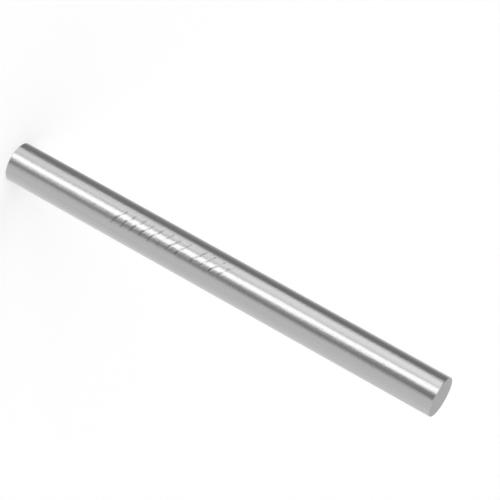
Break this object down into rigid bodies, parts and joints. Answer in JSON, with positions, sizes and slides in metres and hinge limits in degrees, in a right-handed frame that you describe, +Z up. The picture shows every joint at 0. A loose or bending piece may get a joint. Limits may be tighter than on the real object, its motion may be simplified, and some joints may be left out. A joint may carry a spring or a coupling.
{
  "type": "round metal bar",
  "caption": "Straight solid round bar of ground steel with flat end faces and lightly broken edges.",
  "frame": {"origin": "middle of the lower end face, on the surface that the bar stands on", "axes": "+Z up along the bar; +X and +Y are free, because the bar is round"},
  "size_m": [0.0086, 0.0084, 0.1],
  "materials": {
    "ground_steel": "ground around the bar, satin, with faint scratches along it; finely faced ends"
  },
  "bodies": {
    "root": {"round_bar": "ground_steel"}
  },
  "joints": []
}
